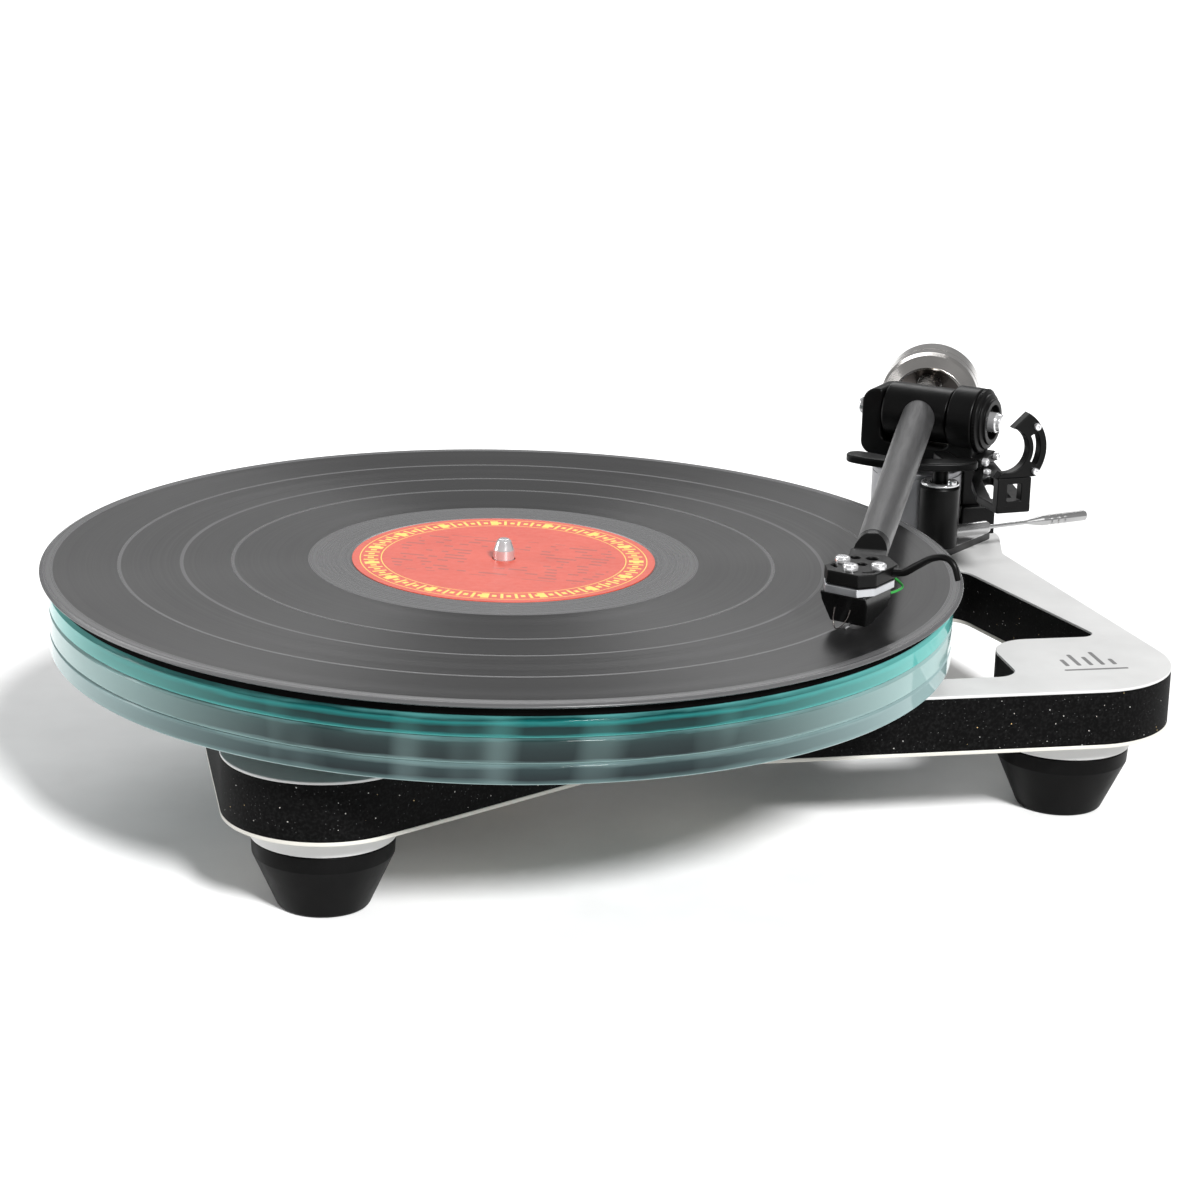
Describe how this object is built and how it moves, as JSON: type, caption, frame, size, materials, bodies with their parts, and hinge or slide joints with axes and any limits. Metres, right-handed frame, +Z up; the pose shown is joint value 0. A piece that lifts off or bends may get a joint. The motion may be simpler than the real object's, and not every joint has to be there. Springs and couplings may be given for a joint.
{
  "type": "turntable record player",
  "caption": "Belt-drive record player with a skeletal laminated plinth, a layered glass platter with a record on it, and a straight tonearm with lift, rest and counterweight.",
  "frame": {"origin": "middle of the bounding box at rest, on the table under the feet", "axes": "+X right, +Y to the back, +Z up; the tonearm stands at the back right"},
  "size_m": [0.3996, 0.354, 0.1187],
  "materials": {
    "laminate": "satin",
    "core": "matte",
    "brace": "satin",
    "rubber": "matte",
    "brass": "satin",
    "steel": "polished",
    "aluminium": "satin",
    "pillar_metal": "satin",
    "motor_can": "satin",
    "black_plastic": "satin",
    "arm_black": "satin",
    "chrome": "polished",
    "glass_upper": "polished",
    "glass_lower": "polished",
    "felt": "matte",
    "vinyl": "gloss",
    "label_paper": "satin"
  },
  "bodies": {
    "plinth": {"plinth_core": "core", "top_laminate": "laminate", "bottom_laminate": "laminate", "top_brace": "brace", "bottom_brace": "brace", "foot_front_left": "rubber", "foot_front_right": "rubber", "foot_rear": "rubber", "foot_boss_front_left": "laminate", "foot_boss_front_right": "laminate", "foot_boss_rear": "laminate", "bearing_housing": "brass", "bearing_nut": "steel", "thrust_ball": "steel", "motor_mount": "aluminium", "motor_body": "motor_can", "drive_belt": "rubber", "power_socket": "black_plastic", "arm_base": "black_plastic", "arm_pillar": "pillar_metal", "arm_lock_nut": "steel", "signal_lead_gland": "rubber", "lift_housing": "black_plastic", "lift_ring": "chrome", "rest_bracket": "black_plastic", "rest_clip": "black_plastic", "clip_screw_upper": "chrome", "clip_screw_lower": "chrome"},
    "platter": {"sub_platter": "aluminium", "spindle_shaft": "chrome", "glass_layer_bottom": "glass_lower", "glass_layer_middle": "glass_lower", "glass_layer_top": "glass_upper", "platter_mat": "felt", "record_disc": "vinyl", "record_label": "label_paper"},
    "motor_pulley": {"motor_pulley": "aluminium"},
    "arm_yoke": {"arm_yoke": "black_plastic", "yoke_bearing_nut": "chrome", "yoke_screw_front": "chrome", "yoke_screw_back": "chrome", "dial_shaft": "chrome"},
    "tonearm": {"arm_bearing_boss": "arm_black", "arm_tube": "arm_black", "headshell": "arm_black", "headshell_screw_inner": "chrome", "headshell_screw_outer": "chrome", "headshell_screw_front": "chrome", "finger_lift": "arm_black", "cartridge_plate": "aluminium", "cartridge_body": "black_plastic", "stylus_cantilever": "chrome", "stylus_guard": "chrome", "counterweight_shaft": "steel"},
    "force_dial": {"tracking_force_dial": "black_plastic"},
    "counterweight": {"counterweight": "steel"},
    "lift_bar": {"lift_bar": "black_plastic"},
    "cue_lever": {"cue_lever": "chrome"},
    "bias_slider": {"bias_slider": "chrome"}
  },
  "joints": [
    {"name": "platter_spin", "type": "hinge", "parent": "plinth", "child": "platter", "pos_m": [-0.04902, -0.02622, 0.06], "axis": [0, 0, 1], "continuous": true},
    {"name": "pulley_spin", "type": "hinge", "parent": "plinth", "child": "motor_pulley", "pos_m": [-0.11702, -0.03822, 0.057], "axis": [0, 0, 1], "continuous": true},
    {"name": "arm_swing", "type": "hinge", "parent": "plinth", "child": "arm_yoke", "pos_m": [0.13283, 0.10112, 0.1013], "axis": [0, 0, 1], "range_deg": [-18.5, 29.6]},
    {"name": "arm_tilt", "type": "hinge", "parent": "arm_yoke", "child": "tonearm", "pos_m": [0.13283, 0.10112, 0.1013], "axis": [-0.766, 0.6428, 0], "range_deg": [0, 2.2]},
    {"name": "tracking_dial", "type": "hinge", "parent": "arm_yoke", "child": "force_dial", "pos_m": [0.13283, 0.10112, 0.1013], "axis": [0.766, -0.6428, 0], "range_deg": [0, 300]},
    {"name": "counterweight_slide", "type": "slide", "parent": "tonearm", "child": "counterweight", "axis": [-0.3665, -0.9304, 0], "range_m": [-0.004, 0.004]},
    {"name": "cue_lever_turn", "type": "hinge", "parent": "plinth", "child": "cue_lever", "pos_m": [0.13388, 0.07558, 0.0606], "axis": [-0.279, 0.9603, 0], "range_deg": [-25, 0]},
    {"name": "lift_bar_rise", "type": "slide", "parent": "plinth", "child": "lift_bar", "axis": [0, 0, 1], "range_m": [0, 0.0014]},
    {"name": "bias_slide", "type": "slide", "parent": "plinth", "child": "bias_slider", "axis": [0, 1, 0], "range_m": [-0.0015, 0.0015]}
  ],
  "couplings": [
    {"joint": "pulley_spin", "follows": "platter_spin", "ratio": 6.924},
    {"joint": "arm_tilt", "follows": "cue_lever_turn", "ratio": -0.086},
    {"joint": "lift_bar_rise", "follows": "cue_lever_turn", "m_per_rad": -0.003}
  ]
}
